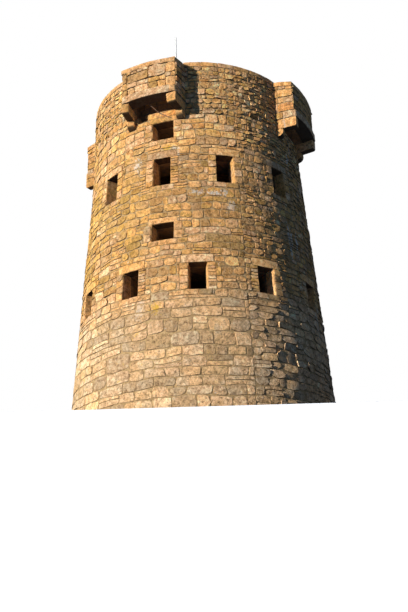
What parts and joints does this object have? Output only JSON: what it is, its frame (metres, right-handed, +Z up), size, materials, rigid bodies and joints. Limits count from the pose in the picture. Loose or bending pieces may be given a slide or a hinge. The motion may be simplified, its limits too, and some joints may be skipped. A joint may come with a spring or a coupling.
{
  "type": "martello tower",
  "caption": "Round granite coastal defence tower with battered walls, rings of loopholes, timber floors, a vaulted roof behind a parapet and machicolations on corbels.",
  "frame": {"origin": "on the tower's axis at ground level, in the plane the wall stands on", "axes": "+Z up along the tower's axis; -Y towards the viewer of the picture, +X to the viewer's right"},
  "size_m": [8.7678, 8.8248, 13.32],
  "materials": {
    "wall_granite": "squared rubble granite, golden pink, lichened and weathered",
    "box_granite": "coursed rubble granite of the machicolation boxes",
    "dressed_granite": "dressed granite, pale, slightly green with lichen",
    "coping_granite": "dressed granite coping, weathered",
    "vault_granite": "coursed granite under a stone platform",
    "joist_oak": "sawn oak, grey with age",
    "floor_boards": "wide oak boards, worn",
    "door_oak": "vertical oak planks, weathered",
    "iron": "rusted wrought iron",
    "pole_paint": "off-white paint, slightly weathered"
  },
  "bodies": {
    "root": {"base_wall_a": "wall_granite", "base_wall_b": "wall_granite", "door_jambs": "dressed_granite", "door_leaf": "door_oak", "door_lintel": "dressed_granite", "door_step": "dressed_granite", "first_floor_wall_a": "wall_granite", "first_floor_wall_b": "wall_granite", "floor_boards": "floor_boards", "floor_joists": "joist_oak", "front_slot_bar": "iron", "loophole_jambs": "dressed_granite", "loophole_lintels": "dressed_granite", "loophole_sills": "dressed_granite", "lower_loophole_piers": "wall_granite", "machicolation_corner_blocks": "box_granite", "machicolation_front_coping": "coping_granite", "machicolation_fronts": "box_granite", "machicolation_lintels": "dressed_granite", "machicolation_lower_corbels": "dressed_granite", "machicolation_side_coping": "coping_granite", "machicolation_sides": "box_granite", "machicolation_sill_walls": "dressed_granite", "machicolation_upper_corbels": "dressed_granite", "mast": "pole_paint", "mast_brackets": "iron", "middle_wall_a": "wall_granite", "middle_wall_b": "wall_granite", "opening_piers": "wall_granite", "parapet_a": "wall_granite", "parapet_b": "wall_granite", "parapet_coping": "coping_granite", "roof_keystone": "vault_granite", "roof_level_wall_a": "wall_granite", "roof_level_wall_b": "wall_granite", "second_floor_wall_a": "wall_granite", "second_floor_wall_b": "wall_granite", "upper_loophole_piers": "wall_granite", "upper_wall_a": "wall_granite", "upper_wall_b": "wall_granite", "vault_crown_a": "vault_granite", "vault_crown_b": "vault_granite", "vault_haunch_a": "vault_granite", "vault_haunch_b": "vault_granite", "vault_level_wall_a": "wall_granite", "vault_level_wall_b": "wall_granite", "wide_window_jambs": "dressed_granite", "wide_window_lintels": "dressed_granite", "wide_window_sills": "dressed_granite"}
  },
  "joints": []
}
